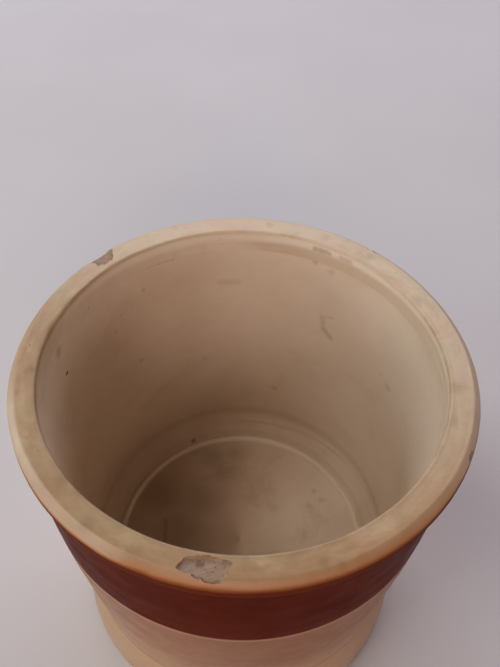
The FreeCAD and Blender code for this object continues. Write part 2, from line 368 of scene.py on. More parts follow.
def chip_cutter(name, outline, depth, seed, rough, step, power, rings=26, spokes=160):
    """A solid lying on the rim whose underside is a broken surface."""
    points = np.array(outline, float)
    mid_angle, mid_radius = points[:, 0].mean(), points[:, 1].mean()
    along = np.radians(points[:, 0] - mid_angle) * mid_radius
    outward = points[:, 1] - mid_radius
    bearing = np.arctan2(outward, along)
    reach = np.hypot(along, outward)
    order = np.argsort(bearing)
    bearing, reach = bearing[order], reach[order]
    t = np.linspace(-math.pi, math.pi, spokes, endpoint=False)
    edge = np.interp(t, np.r_[bearing - TAU, bearing, bearing + TAU], np.r_[reach, reach, reach])
    rng = np.random.default_rng(seed)
    # ragged outline: amplitude, lobes
    edge = edge * (1 + sum(amount * np.sin(lobes * t + rng.uniform(0, 6))
                           for amount, lobes in ((0.03, 7), (0.02, 13), (0.008, 29))))

    def place(along, outward, lift):
        """Points at lift mm above the rim's surface."""
        radius = mid_radius + outward
        angle = math.radians(mid_angle) + along / mid_radius
        return np.stack([radius * np.cos(angle), radius * np.sin(angle),
                         bevel_height(radius) + lift], -1)

    spread = 1 - (1 - np.linspace(0, 1, rings + 1)[1:]) ** 1.5
    share, turn = np.meshgrid(spread, t, indexing="ij")
    along = share * edge[None, :] * np.cos(turn)
    outward = share * edge[None, :] * np.sin(turn)
    bowl = depth * (1 - share ** power)
    wander = 1.2 * fine_noise(along, outward, seed + 5, waves=10, low=0.05, high=0.2)
    terraces = step * np.abs(np.sin(3.1 * (along * 0.42 + outward * 0.9) + wander))
    grain = rough * fine_noise(along, outward, seed, waves=40, low=0.12, high=1.1)
    grain *= 1 - share ** 6
    sunk = np.maximum(bowl + (terraces + grain) * (1 - share ** 5), 0.02)
    low = place(along, outward, -sunk)
    top = place(edge * np.cos(t), edge * np.sin(t), CUTTER_TOP)
    centres = [place(0.0, 0.0, -(depth + 0.25)), place(0.0, 0.0, CUTTER_TOP)]
    verts = np.vstack([low.reshape(-1, 3), top, *centres]) * MM

    faces = []
    for i in range(rings - 1):
        for j in range(spokes):
            k = (j + 1) % spokes
            faces.append((i * spokes + j, (i + 1) * spokes + j,
                          (i + 1) * spokes + k, i * spokes + k))
    top_ring = rings * spokes
    low_ring = top_ring - spokes
    low_centre, top_centre = top_ring + spokes, top_ring + spokes + 1
    for j in range(spokes):
        k = (j + 1) % spokes
        faces.append((low_centre, j, k))
        faces.append((low_ring + j, top_ring + j, top_ring + k, low_ring + k))
        faces.append((top_ring + j, top_centre, top_ring + k))
    return warped_object(name, verts, faces)


def apply_cuts(obj, cutters, broken_material):
    """Cuts the chips out of obj; the broken surfaces take broken_material."""
    for cutter in cutters:
        cutter.data.materials.clear()
        cutter.data.materials.append(broken_material)
        cut = obj.modifiers.new(cutter.name, "BOOLEAN")
        cut.operation = "DIFFERENCE"
        cut.solver = "EXACT"
        cut.object = cutter
        cut.material_mode = "TRANSFER"
    graph = bpy.context.evaluated_depsgraph_get()
    made = bpy.data.meshes.new_from_object(obj.evaluated_get(graph), depsgraph=graph)
    obj.modifiers.clear()
    old = obj.data
    obj.data = made
    made.name = old.name + "_cut"
    bpy.data.meshes.remove(old)


def dense_angles(spots, fine, coarse):
    """Angles round the pot, fine degrees apart near the spots and coarse elsewhere."""
    out, angle = [], -180.0
    while angle < 180.0 - 1e-9:
        out.append(angle)
        gap = min(max(0.0, abs((angle - spot + 180) % 360 - 180) - half) for spot, half in spots)
        angle += fine + (coarse - fine) * min(1.0, gap / 6.0)
    if 180.0 - out[-1] < fine * 0.6:
        out.pop()
    return np.radians(out)


# ------------------------------------------------------------------ shader building
def srgb(rgb):
    """Linear RGBA from 0-255 sRGB."""
    part = np.array(rgb, float) / 255
    part = np.where(part <= 0.04045, part / 12.92, ((part + 0.055) / 1.055) ** 2.4)
    return (*part.tolist(), 1.0)


class Value:
    """A shader output; arithmetic on it adds math nodes."""

    def __init__(self, mat, socket):
        self.mat, self.socket = mat, socket

    def __add__(self, other):
        return self.mat.math("ADD", self, other)

    def __sub__(self, other):
        return self.mat.math("SUBTRACT", self, other)

    def __rsub__(self, other):
        return self.mat.math("SUBTRACT", other, self)

    def __mul__(self, other):
        return self.mat.math("MULTIPLY", self, other)

    def ramp(self, start, end, low=0.0, high=1.0):
        """Smoothly from low at start to high at end; start may be above end."""
        return self.mat.node("ShaderNodeMapRange", enumerate((self, start, end, low, high)),
                             interpolation_type="SMOOTHSTEP")

    def band(self, start, full, still, end):
        """Rises from start to full, stays 1 to still, falls to 0 at end."""
        return self.ramp(start, full) * self.ramp(end, still)


class Material:
    """A material under construction, with a Principled shader at its output."""

    def __init__(self, name):
        self.data = bpy.data.materials.new(name)
        self.data.use_nodes = True
        self.tree = self.data.node_tree
        self.tree.nodes.clear()
        self.surface = self.tree.nodes.new("ShaderNodeOutputMaterial").inputs[0]
        self.bsdf = self.tree.nodes.new("ShaderNodeBsdfPrincipled")
        self.shader = Value(self, self.bsdf.outputs[0])
        self.put(self.surface, self.shader)

    def put(self, socket, value):
        if isinstance(value, Value):
            self.tree.links.new(value.socket, socket)
        else:
            socket.default_value = value

    def node(self, kind, inputs=(), output=0, **settings):
        """Adds a node. inputs holds (index or name, value) pairs."""
        node = self.tree.nodes.new(kind)
        for key, setting in settings.items():
            setattr(node, key, setting)
        for key, value in inputs:
            self.put(node.inputs[key], value)
        return Value(self, node.outputs[output])

    def math(self, operation, *values, clamp=False):
        return self.node("ShaderNodeMath", enumerate(values), operation=operation,
                         use_clamp=clamp)

    def vector_math(self, operation, *values, output=0):
        return self.node("ShaderNodeVectorMath", enumerate(values), output,
                         operation=operation)

    def combine(self, x, y, z):
        return self.node("ShaderNodeCombineXYZ", enumerate((x, y, z)))

    # position; made on first use, so that no material holds spare nodes
    @cached_property
    def point(self):
        return self.node("ShaderNodeTexCoord", output="Object")

    @cached_property
    def xyz(self):
        split = self.tree.nodes.new("ShaderNodeSeparateXYZ")
        self.put(split.inputs[0], self.point)
        return [Value(self, socket) for socket in split.outputs]

    @cached_property
    def z(self):
        return self.xyz[2]

    @cached_property
    def radius(self):
        x, y, z = self.xyz
        return self.math("SQRT", x * x + y * y)

    @cached_property
    def right(self):
        """1 on the right of the pot, -1 on the left."""
        return self.math("DIVIDE", self.xyz[0], self.math("MAXIMUM", self.radius, 0.001))

    @cached_property
    def back(self):
        """1 at the back of the pot, -1 in front."""
        return self.math("DIVIDE", self.xyz[1], self.math("MAXIMUM", self.radius, 0.001))

    def noise(self, scale, detail=4, rough=0.6, distortion=0.0, at=None, output=0):
        inputs = {"Vector": at or self.point, "Scale": scale, "Detail": detail,
                  "Roughness": rough, "Distortion": distortion}
        return self.node("ShaderNodeTexNoise", inputs.items(), output)

    def banded(self, around, up, **noise):
        """Noise stretched round the pot: around sets detail along the rim, up across it."""
        at = self.combine(self.right * around, self.back * around,
                          (self.z + self.radius * 0.7) * up)
        return self.noise(1.0, at=at, **noise)

    def turned(self, lines):
        """Fine rings left by turning."""
        at = self.combine(0.0, self.z * lines, self.radius * lines)
        return self.noise(1.0, detail=3, at=at)

    def cells(self, scale, feature="F1", at=None):
        return self.node("ShaderNodeTexVoronoi",
                         (("Vector", at or self.point), ("Scale", scale)),
                         "Distance", feature=feature)

    def wobble(self, shift, scale, detail=3):
        """The position, pushed about by noise, so that marks get ragged edges."""
        push = self.noise(scale, detail=detail, output=1)
        centred = self.vector_math("ADD", self.point, (-shift / 2,) * 3)
        return self.vector_math("MULTIPLY_ADD", push, (shift,) * 3, centred)

    def ragged_z(self):
        """Height with an uneven edge, shared by the rim and the brown band."""
        return self.z + (self.banded(around=8, up=60) - 0.5) * 0.0016

    def specks(self, scale, size, patches):
        """Dots in patches. size ramps the cell distance; patches: scale, ramp start, end."""
        patch_scale, start, end = patches
        dots = self.cells(scale).ramp(*size)
        return dots * self.noise(patch_scale, detail=2, rough=0.5).ramp(start, end)

    def crazing(self, shift, scale, width):
        """Fine cracks along the edges of wobbled cells."""
        at = self.wobble(shift, scale=300)
        return self.cells(scale, "DISTANCE_TO_EDGE", at).ramp(0.0, width, low=1.0, high=0.0)

    def spot(self, at, place, radius, soft):
        """1 at place, falling to 0 at radius; soft is the share of radius that falls."""
        gap = self.vector_math("LENGTH", self.vector_math("SUBTRACT", at, place), output=1)
        return gap.ramp(radius * (1 - soft), radius, low=1.0, high=0.0)

    def streak(self, at, start, end, radius, soft):
        """1 on the line from start to end, falling to 0 at radius."""
        start = Vector(start)
        line = Vector(end) - start
        offset = self.vector_math("SUBTRACT", at, tuple(start))
        share = self.math("DIVIDE", self.vector_math("DOT_PRODUCT", offset, tuple(line), output=1),
                          line.length_squared, clamp=True)
        foot = self.node("ShaderNodeVectorMath", ((0, tuple(line)), (3, share)),
                         operation="SCALE")
        gap = self.vector_math("LENGTH", self.vector_math("SUBTRACT", offset, foot), output=1)
        return gap.ramp(radius * (1 - soft), radius, low=1.0, high=0.0)

    def marks(self, at, table, *more):
        """The strongest of the marks. Row: one place for a spot or two for a streak,
        then radius, softness, strength."""
        masks = []
        for *places, radius, soft, strength in table:
            draw = self.spot if len(places) == 1 else self.streak
            mask = draw(at, *places, radius, soft)
            masks.append(mask if strength is None else mask * strength)
        return self.most(*masks, *more)

    def most(self, first, *others):
        for other in others:
            first = self.math("MAXIMUM", first, other)
        return first

    def mix(self, mask, first, second):
        """Colours are sRGB tuples or shader values."""
        first, second = (colour if isinstance(colour, Value) else srgb(colour)
                         for colour in (first, second))
        return self.node("ShaderNodeMix", ((0, mask), (6, first), (7, second)), 2,
                         data_type="RGBA")

    def paint(self, colour, *layers):
        """Lays colours over one another. Layer: mask, strength or None, colour."""
        for mask, strength, over in layers:
            colour = self.mix(mask if strength is None else mask * strength, colour, over)
        return colour

    def relief(self, *layers, normal=None):
        """Chained bumps. Layer: height, distance in metres, strength."""
        for height, distance, strength in layers:
            inputs = {"Strength": strength, "Distance": distance, "Height": height}
            if normal is not None:
                inputs["Normal"] = normal
            normal = self.node("ShaderNodeBump", inputs.items())
        return normal

    def finish(self, colour, rough, normal=None, spec=0.5, coat=0.0, coat_rough=0.1):
        inputs = {"Base Color": colour, "Roughness": rough, "Specular IOR Level": spec,
                  "Coat Weight": coat, "Coat Roughness": coat_rough}
        if normal is not None:
            inputs["Normal"] = normal
        for key, value in inputs.items():
            self.put(self.bsdf.inputs[key], value)
        return self.data


# ------------------------------------------------------------------ glazes
# each pair is the two ends of a glaze's patchy base colour
LINER_COLOURS = (240, 220, 197), (229, 206, 180)
RIM_COLOURS = (208, 173, 131), (198, 156, 113)
BROWN_COLOURS = (84, 28, 12), (98, 36, 16)
# the body colours are the cream glaze with painted shade and painted warm reflected light; the foot
# colour is the same glaze painted as lit
BODY_SHADED_COLOURS = (170, 122, 91), (159, 112, 82)
FOOT_LIT_COLOUR = (206, 171, 139)

# marks: place or two places in metres, radius, softness, strength
LINER_STAINS_AND_SHADE = [
    # the first six, large and soft on the floor's back left, are stains and also painted shade
    ((-0.0180, 0.0569, 0.0231), 0.0130, 0.98, 0.26),
    ((-0.0050, 0.0600, 0.0232), 0.0120, 0.98, 0.22),
    ((-0.0111, 0.0480, 0.0230), 0.0170, 0.98, 0.22),
    ((-0.0262, 0.0258, 0.0228), 0.0260, 0.98, 0.30),
    ((-0.0340, 0.0050, 0.0227), 0.0250, 0.98, 0.34),
    ((-0.0480, 0.0280, 0.0228), 0.0220, 0.98, 0.30),
    ((0.0466, 0.0337, 0.0231), 0.0032, 0.95, 0.22),
    ((0.0515, 0.0274, 0.0231), 0.0034, 0.95, 0.20),
    ((-0.0464, 0.0115, 0.0229), (-0.0457, -0.0031, 0.0229), 0.0030, 0.98, 0.42)]
LINER_SMUDGES = [
    ((-0.0138, 0.0860, 0.1567), (-0.0054, 0.0869, 0.1565), 0.0042, 1.0, 0.15),
    ((-0.0505, 0.0715, 0.1813), (-0.0384, 0.0782, 0.1802), 0.0020, 0.95, 0.36),
    ((-0.0680, 0.0549, 0.1860), 0.0030, 0.9, 0.6),
    ((-0.0542, 0.0687, 0.1663), 0.0018, 0.9, 0.40),
    ((-0.0681, 0.0537, 0.1493), 0.0022, 0.95, 0.28),
    ((-0.0865, 0.0161, 0.1762), 0.0050, 0.95, 0.34),
    ((-0.0584, 0.0622, 0.1166), 0.0024, 0.95, 0.28),
    ((0.0360, 0.0792, 0.1789), 0.0026, 0.9, 0.34),
    ((0.0448, 0.0757, 0.1762), 0.0040, 0.95, 0.20),
    ((0.0775, 0.0370, 0.1278), 0.0040, 0.95, 0.22),
    ((0.0194, 0.0808, 0.0693), 0.0030, 0.95, 0.26),
    ((-0.0240, 0.0810, 0.0974), 0.0035, 0.95, 0.20),
    ((0.0428, 0.0751, 0.1419), (0.0438, 0.0741, 0.1340), 0.0027, 0.98, 0.20),
    ((0.0438, 0.0741, 0.1340), (0.0483, 0.0710, 0.1295), 0.0030, 0.98, 0.28),
    ((0.0428, 0.0751, 0.1419), (0.0479, 0.0721, 0.1445), 0.0022, 0.98, 0.16)]
LINER_SPECKS = [
    ((-0.0855, 0.0173, 0.1592), 0.0016, 0.6, None),
    ((0.0629, 0.0621, 0.1807), 0.0012, 0.6, 0.8),
    ((-0.0334, 0.0678, 0.0265), 0.0024, 0.9, 0.62)]
RIM_MARKS = [
    ((-0.0904, -0.0073, top_z), 0.0040, 0.9, 0.40),
    ((-0.0549, -0.0776, top_z), 0.0050, 0.95, 0.30),
    ((-0.0673, -0.0594, top_z), 0.0045, 0.95, 0.34),
    ((0.0405, 0.0833, top_z), 0.0045, 0.95, 0.22),
    ((0.0612, 0.0694, top_z), 0.0040, 0.95, 0.26),
    ((0.0567, 0.0712, top_z), 0.0042, 0.95, 0.22),
    ((0.0813, 0.0396, top_z), 0.0060, 0.95, 0.24),
    ((0.0899, -0.0125, top_z), 0.0050, 0.95, 0.32),
    ((0.0852, -0.0290, top_z), 0.0045, 0.95, 0.30),
    ((0.0353, -0.0915, top_z), 0.0034, 0.95, 0.34),
    ((0.0294, -0.0905, top_z), 0.0034, 0.95, 0.34),
    ((-0.0366, -0.0875, top_z), 0.0045, 0.95, 0.22),
    ((0.0117, 0.0927, top_z), 0.0034, 0.95, 0.22),
    ((0.0351, 0.0797, 0.188), (0.0420, 0.0763, 0.188), 0.0024, 0.9, 0.50),
    ((0.0478, 0.0729, 0.188), (0.0525, 0.0697, 0.188), 0.0024, 0.9, 0.34)]


def liner_material():
    mat = Material("liner_cream_glaze")
    z, radius, right = mat.z, mat.radius, mat.right
    ragged = mat.wobble(shift=0.0036, scale=210, detail=4)
    stains_and_shade = mat.marks(ragged, LINER_STAINS_AND_SHADE)
    smudges = mat.marks(ragged, LINER_SMUDGES)
    dust = mat.specks(150, size=(0.085, 0.05), patches=(60, 0.585, 0.64))
    specks = mat.marks(ragged, LINER_SPECKS, dust * 0.5)
    crazing = mat.crazing(shift=0.0012, scale=165, width=0.014)
    blotch = mat.noise(40, detail=6, rough=0.62, distortion=1.2)
    colour = mat.paint(
        mat.mix(mat.noise(13, rough=0.55).ramp(0.35, 0.68), *LINER_COLOURS),
        # clouds and streaks
        (mat.noise(30, detail=5, distortion=0.6).ramp(0.5, 0.8), 0.22, (182, 146, 112)),
        (mat.banded(around=2.0, up=60, detail=5).ramp(0.54, 0.80), 0.14, (166, 130, 98)),
        # a greyer ring just under the rim, stronger on the right
        (z.ramp(0.1780, 0.1812) * mat.banded(around=5, up=40).ramp(0.3, 0.62, 0.15, 0.5)
         * right.ramp(-0.2, 0.7, 0.15, 0.8), None, (190, 162, 126)),
        # painted light: paler on the lit right wall, painted shade on the upper left wall
        (right.ramp(0.1, 0.9) * z.ramp(0.1790, 0.1690, 0.0, 0.34), None, (248, 232, 212)),
        (right.ramp(-0.45, -0.92) * z.band(0.060, 0.120, 0.1400, 0.1740), 0.30, (160, 122, 88)),
        # darker low down, in patches
        (z.ramp(0.085, 0.03) * mat.noise(21).ramp(0.25, 0.75, 0.5, 1.0), 0.22, (150, 112, 80)),
        # painted shade in the groove above the cove
        (z.band(0.0380, 0.0435, 0.0440, 0.0500), 0.14, (110, 78, 54)),
        # painted shade to the lower left, on the wall and on the floor
        (z.ramp(0.140, 0.030) * right.ramp(0.45, -0.95), 0.42, (136, 98, 70)),
        (radius.ramp(0.0735, 0.0700) * mat.xyz[0].ramp(0.040, -0.064), 0.30, (136, 100, 72)),
        # painted shade in the moat outside the floor's raised edge
        (radius.band(0.0722, 0.0738, 0.0752, 0.0800) * z.ramp(0.030, 0.027), 0.14,
         (112, 80, 56)),
        # painted highlight on the floor's raised edge
        (radius.band(0.0700, 0.0712, 0.0728, 0.0742) * z.ramp(0.028, 0.026), 0.62,
         (240, 220, 194)),
        # blotches on the floor
        (radius.ramp(0.0708, 0.0698) * blotch.ramp(0.47, 0.78, 0.0, 0.30), None,
         (158, 124, 90)),
        # stains; the large soft ones on the floor's left are also painted shade
        (stains_and_shade, None, (104, 72, 48)),
        (smudges, None, (112, 82, 56)),
        (specks, None, (56, 34, 22)),
        (crazing * mat.noise(28, detail=3, rough=0.5).ramp(0.42, 0.66), 0.10, (120, 92, 62)))
    rough = mat.noise(90).ramp(0.3, 0.7, 0.36, 0.50) + mat.most(stains_and_shade, smudges) * 0.2
    pits = 1.0 - mat.most(specks, mat.cells(210).ramp(0.06, 0.03) * 0.5)
    normal = mat.relief(
        (mat.noise(420, detail=2, rough=0.5), 0.00008, 0.35),
        (mat.banded(around=1.0, up=90, detail=2, rough=0.5), 0.00030, 0.25),
        (pits, 0.00030, 0.5))
    return mat.finish(colour, rough, normal, spec=0.32, coat=0.04, coat_rough=0.3)


def rim_material():
    mat = Material("rim_buff_glaze")
    z, radius, right, back = mat.z, mat.radius, mat.right, mat.back
    along = mat.banded(around=6.0, up=300, detail=5, distortion=0.3)
    patch = mat.noise(22, detail=5, distortion=0.8)
    grey = mat.noise(50, detail=5, rough=0.62, distortion=0.9).ramp(0.54, 0.72)
    grey = grey * z.ramp(0.1885, 0.1915)
    marks = mat.marks(mat.wobble(shift=0.0024, scale=280), RIM_MARKS)
    dust = mat.specks(260, size=(0.10, 0.06), patches=(90, 0.57, 0.62))
    left = right.ramp(-0.34, -0.52)
    sides = mat.most(back.ramp(-0.82, -0.45), left)
    outside = radius.ramp(0.0962, 0.0974)
    edge_z = mat.ragged_z() + left * 0.0010

    def breaking(front, side, amount):
        """Mask down the outer edge; front and side are its height ramps."""
        there = (1.0 - sides) * edge_z.ramp(*front) + sides * edge_z.ramp(*side)
        return outside * (there * amount)

    apart = mat.vector_math("ADD", mat.point, (0.31, 0.12, 0.20))
    colour = mat.paint(
        mat.mix(patch.ramp(0.36, 0.66), *RIM_COLOURS),
        # streaks along the rim
        (along.ramp(0.44, 0.72), 0.30, (222, 200, 160)),
        (along.ramp(0.54, 0.36), 0.26, (170, 128, 90)),
        (mat.banded(around=20, up=900).ramp(0.55, 0.75), 0.20, (154, 118, 84)),
        # painted shade towards the front left, painted sheen and light at the back right and on the
        # right
        ((right * -0.62 + back * -0.78).ramp(0.1, 0.9), 0.40, (170, 134, 98)),
        ((right * 0.45 + back * 0.89).ramp(-0.35, 0.85), 0.64, (246, 222, 192)),
        (right.ramp(0.35, 0.95), 0.30, (222, 198, 168)),
        # pink, olive, gold and grey patches
        (mat.noise(34, distortion=0.5).ramp(0.50, 0.70), 0.42, (228, 178, 148)),
        (mat.noise(44, distortion=0.6, at=apart).ramp(0.50, 0.70), 0.40, (190, 170, 122)),
        (mat.banded(around=5, up=160, distortion=0.5).ramp(0.48, 0.70), 0.30,
         (236, 218, 168)),
        (grey, 0.24, (160, 136, 96)),
        # liner colour inside the mouth, with a painted highlight on the lip at the back
        (z.ramp(0.1908, 0.1884) * radius.ramp(0.0925, 0.0900), 0.9,
         mat.mix(patch.ramp(0.36, 0.66), *LINER_COLOURS)),
        (z.ramp(0.1917, 0.1900) * z.ramp(0.1835, 0.1885)
         * (radius.ramp(0.0905, 0.0893) * back.ramp(0.2, 0.8)), 0.8, (255, 240, 220)),
        # painted shade: a thin darker line on the inner edge, away from the back
        (radius.ramp(0.0906, 0.0893) * z.ramp(0.1885, 0.1898)
         * mat.banded(around=9, up=60).ramp(0.36, 0.62, 0.04, 0.30)
         * back.ramp(0.8, 0.2), None, (158, 130, 96)),
        # painted highlight on the bevel round the sides and back
        (radius.ramp(0.0960, 0.0968) * z.ramp(0.1880, 0.1892)
         * (1.0 - left * back.ramp(-0.45, 0.10) * 0.7) * sides, 0.46, (232, 204, 180)),
        # painted shade and painted warm reflected light towards the front
        (radius.ramp(0.0920, 0.0975) * back.ramp(-0.1, -0.8, 0.25, 1.0)
         * right.ramp(-0.34, -0.52, 1.0, 0.12), 0.34, (182, 128, 84)),
        # throat
        (z.ramp(0.1880, 0.1850) * radius.ramp(0.0925, 0.0905)
         * right.ramp(-0.2, 0.7, 0.15, 1.0), 0.34, (190, 162, 126)),
        # the outer edge breaks to orange, then to brown
        (breaking((0.1919, 0.1896), (0.1896, 0.1882), 0.72), None, (196, 134, 86)),
        (breaking((0.1900, 0.1880), (0.1889, 0.1874), 0.85), None, (146, 82, 42)),
        (breaking((0.1884, 0.1862), (0.1882, 0.1862), 0.97), None, (104, 44, 20)),
        (marks, 0.8, (124, 92, 58)),
        (dust, 0.5, (84, 58, 38)),
        (mat.crazing(shift=0.001, scale=240, width=0.02), 0.09, (110, 80, 50)))
    rough = along.ramp(0.3, 0.7, 0.38, 0.52) + mat.most(marks, grey) * 0.18
    normal = mat.relief(
        (mat.noise(380, detail=3, rough=0.55), 0.00014, 0.45),
        (along, 0.00025, 0.4),
        (1.0 - dust, 0.0003, 0.5))
    # thin and dull where it runs down the side
    return mat.finish(colour, rough, normal, spec=z.ramp(0.1880, 0.1908, 0.006, 0.42),
                      coat=z.ramp(0.1885, 0.1910, 0.0, 0.2), coat_rough=0.34)


def brown_material():
    mat = Material("brown_band_glaze")
    streak = mat.banded(around=3.0, up=90, detail=5)
    fleck = mat.specks(230, size=(0.11, 0.06), patches=(70, 0.55, 0.62))
    cloud = mat.noise(30, detail=5, distortion=0.6)
    colour = mat.paint(
        mat.mix(cloud.ramp(0.3, 0.72), *BROWN_COLOURS),
        (streak.ramp(0.52, 0.8), 0.30, (62, 15, 6)),
        # meets the colour of the rim's side at the top, lighter at the bottom
        (mat.ragged_z().ramp(0.1800, 0.1840, 0.0, 0.9), None, (104, 44, 20)),
        (mat.z.ramp(0.1290, 0.1268), 0.35, (132, 66, 38)),
        (fleck, 0.2, (150, 90, 52)))
    normal = mat.relief(
        (mat.noise(300, detail=2, rough=0.5), 0.00010, 0.4),
        (streak, 0.00025, 0.3),
        (1.0 - fleck, 0.0002, 0.4))
    rough = mat.noise(75).ramp(0.3, 0.7, 0.30, 0.42)
    return mat.finish(colour, rough, normal, spec=0.006)


def body_material():
    mat = Material("lower_body_cream_glaze")
    z = mat.z
    dust = mat.specks(170, size=(0.085, 0.05), patches=(60, 0.58, 0.63))
    crazing = mat.crazing(shift=0.0012, scale=170, width=0.014)
    scuffs = mat.noise(44, detail=6, rough=0.66, distortion=1.4)
    colour = mat.paint(
        mat.mix(mat.noise(12, rough=0.55).ramp(0.35, 0.68), *BODY_SHADED_COLOURS),
        (mat.banded(around=2.4, up=60, detail=5).ramp(0.52, 0.8), 0.16, (178, 140, 104)),
        # painted light: paler over the lit foot than on the shaded wall above
        (z.ramp(0.1050, 0.0400), 0.70, FOOT_LIT_COLOUR),
        (z.ramp(0.0395, 0.0365), 0.45, FOOT_LIT_COLOUR),
        # painted shade and painted warm reflected light over the front and right
        (mat.right.ramp(-0.50, 0.10) * (mat.back.ramp(-0.20, -0.80) * z.ramp(0.040, 0.085)),
         0.38, (140, 86, 56)),
        # painted highlight along the thick upper edge beside the brown band
        (z.band(0.1246, 0.1255, 0.1264, 0.1272), 0.30, (226, 194, 160)),
        # worn lower edge
        (z.ramp(0.0095, 0.0052) * mat.noise(60).ramp(0.35, 0.65), 0.5, (160, 132, 100)),
        # painted shade in the crease where the wall meets the flared foot
        (z.band(0.0370, 0.0386, 0.0390, 0.0405), 0.30, (140, 104, 74)),
        (scuffs.ramp(0.60, 0.76), 0.22, (164, 132, 100)),
        (dust, 0.6, (76, 48, 30)),
        (crazing * mat.noise(26, detail=3, rough=0.5).ramp(0.40, 0.64), 0.12, (120, 90, 60)))
    normal = mat.relief(
        (mat.noise(380, detail=2, rough=0.5), 0.00008, 0.4),
        (mat.banded(around=1.0, up=90, detail=2, rough=0.5), 0.0003, 0.2),
        (1.0 - dust, 0.0003, 0.5))
    rough = mat.noise(80).ramp(0.3, 0.7, 0.30, 0.44)
    return mat.finish(colour, rough, normal, spec=0.09)


# ------------------------------------------------------------------ bare and broken clay
def clay_base(name, base, dark, light):
    """A gritty clay: the material with its colour, roughness and normal."""
    mat = Material(name)
    grain = mat.noise(900, rough=0.65)
    patch = mat.noise(95, detail=5, distortion=0.8)
    colour = mat.paint(
        mat.mix(patch.ramp(0.35, 0.68), base, light),
        (grain.ramp(0.5, 0.72), 0.55, dark),
        (mat.specks(620, size=(0.26, 0.12), patches=(300, 0.52, 0.6)), 0.7,
         tuple(0.5 * part for part in dark)))
    normal = mat.relief((grain, 0.00025, 0.7), (patch, 0.0006, 0.5))
    return mat, colour, grain.ramp(0.3, 0.7, 0.72, 0.92), normal


def fracture_material():
    mat, colour, rough, normal = clay_base("broken_stoneware", base=(172, 142, 118),
                                           dark=(142, 114, 94), light=(188, 158, 140))
    ragged = mat.wobble(shift=0.0012, scale=500)
    # a painted highlight on the broken face
    chip_highlight = mat.spot(ragged, (-0.0186, -0.0945, 0.1911), radius=0.0050, soft=0.95)
    dark_spot = mat.spot(ragged, (-0.0138, -0.0912, 0.1905), radius=0.0022, soft=0.9)
    colour = mat.paint(
        colour,
        # dirt
        (mat.noise(210, rough=0.65, distortion=0.8).ramp(0.56, 0.70), 0.35, (128, 100, 82)),
        # painted highlight on the broken face
        (chip_highlight, 0.45, (206, 176, 170)),
        (dark_spot, 0.6, (96, 68, 48)))
    return mat.finish(colour, rough, normal, spec=0.3)


def glaze_break_material():
    """The broken edge of the glaze round a chip."""
    mat = Material("glaze_broken_edge")
    grain = mat.noise(300)
    return mat.finish(mat.mix(grain.ramp(0.35, 0.65), (150, 118, 90), (180, 146, 112)),
                      grain.ramp(0.3, 0.7, 0.4, 0.7), mat.relief((grain, 0.0002, 0.6)), spec=0.4)


def foot_material():
    mat, colour, rough, normal = clay_base("bare_turned_stoneware", base=(176, 158, 132),
                                           dark=(128, 106, 84), light=(196, 180, 154))
    # rubbed dark where it stands
    rubbed = mat.z.ramp(0.0012, 0.0002) * mat.noise(90).ramp(0.3, 0.6)
    colour = mat.paint(colour, (rubbed, 0.7, (112, 92, 74)))
    normal = mat.relief((mat.turned(lines=900), 0.0004, 0.7), normal=normal)
    return mat.finish(colour, rough, normal, spec=0.25)


def plain_clay_material():
    mat, colour, rough, normal = clay_base("bare_stoneware", base=(158, 142, 126),
                                           dark=(112, 94, 82), light=(182, 168, 150))
    normal = mat.relief((mat.turned(lines=700), 0.0003, 0.6), normal=normal)
    return mat.finish(colour, rough, normal, spec=0.25)


liner_glaze, rim_glaze = liner_material(), rim_material()
brown_glaze, body_glaze = brown_material(), body_material()
broken_clay, broken_glaze = fracture_material(), glaze_break_material()
foot_clay, plain_clay = foot_material(), plain_clay_material()


# ------------------------------------------------------------------ relief: mm outwards, mm up
def liner_relief(theta, radius, height):
    wall = fade(height, 46.0, 52.0) * (1 - fade(height, 176.0, 180.0))
    out = wall * ripples(theta, height, (0.035, 11, 2, 22, 0.02, 0.09),
                         (0.012, 12, 30, 40, 0.02, 0.3))
    cove = fade(radius, 72.8, 75.0) * (1 - fade(height, 40.0, 43.0))
    out = out + cove * ripples(theta, height, (0.08, 15, 6, 20, 0.05, 0.3))
    rings = ripples(theta, radius, (0.04, 13, 1, 16, 0.03, 0.10)) * fade(radius, 4, 20)
    fine = ripples(theta, radius, (0.02, 14, 12, 30, 0.02, 0.25)) * fade(radius, 10, 30)
    raised_edge = np.exp(-((radius - 71.8) / 1.1) ** 2) * (height < 26)
    up = (1 - fade(radius, 66.0, 70.0)) * (rings + fine)
    up = up + raised_edge * ripples(theta, 0 * height, (0.10, 16, 14, 18, 0.0, 0.01))
    return out, up


def rim_relief(theta, radius, height):
    top = fade(height, TOP - 1.0, TOP - 0.2) * fade(radius, 88.6, 89.6)
    up = top * ripples(theta, radius, (0.055, 21, 11, 26, 0.0, 0.12),
                       (0.022, 22, 60, 50, 0.0, 0.5))
    side = (radius > 96) * fade(height, SIDE_LOW, SIDE_LOW + 1.0)
    out = side * ripples(theta, height, (0.06, 23, 9, 26, 0.0, 0.2),
                         (0.03, 24, 60, 40, 0.0, 0.5))
    mouth = (radius < 90.5) * fade(height, 181.0, 183.0)
    return out + mouth * ripples(theta, height, (-0.07, 25, 16, 26, 0.0, 0.2)), up


def outer_ripples(theta, height, seed):
    return ripples(theta, height, (0.035, seed, 3, 24, 0.02, 0.08),
                   (0.012, seed + 1, 40, 40, 0.02, 0.3))


def band_relief(theta, radius, height):
    free = (1 - fade(height, 181.5, SIDE_LOW)) * fade(height, BAND_LOW, BAND_LOW + 1.5)
    return free * outer_ripples(theta, height, seed=41), 0.0


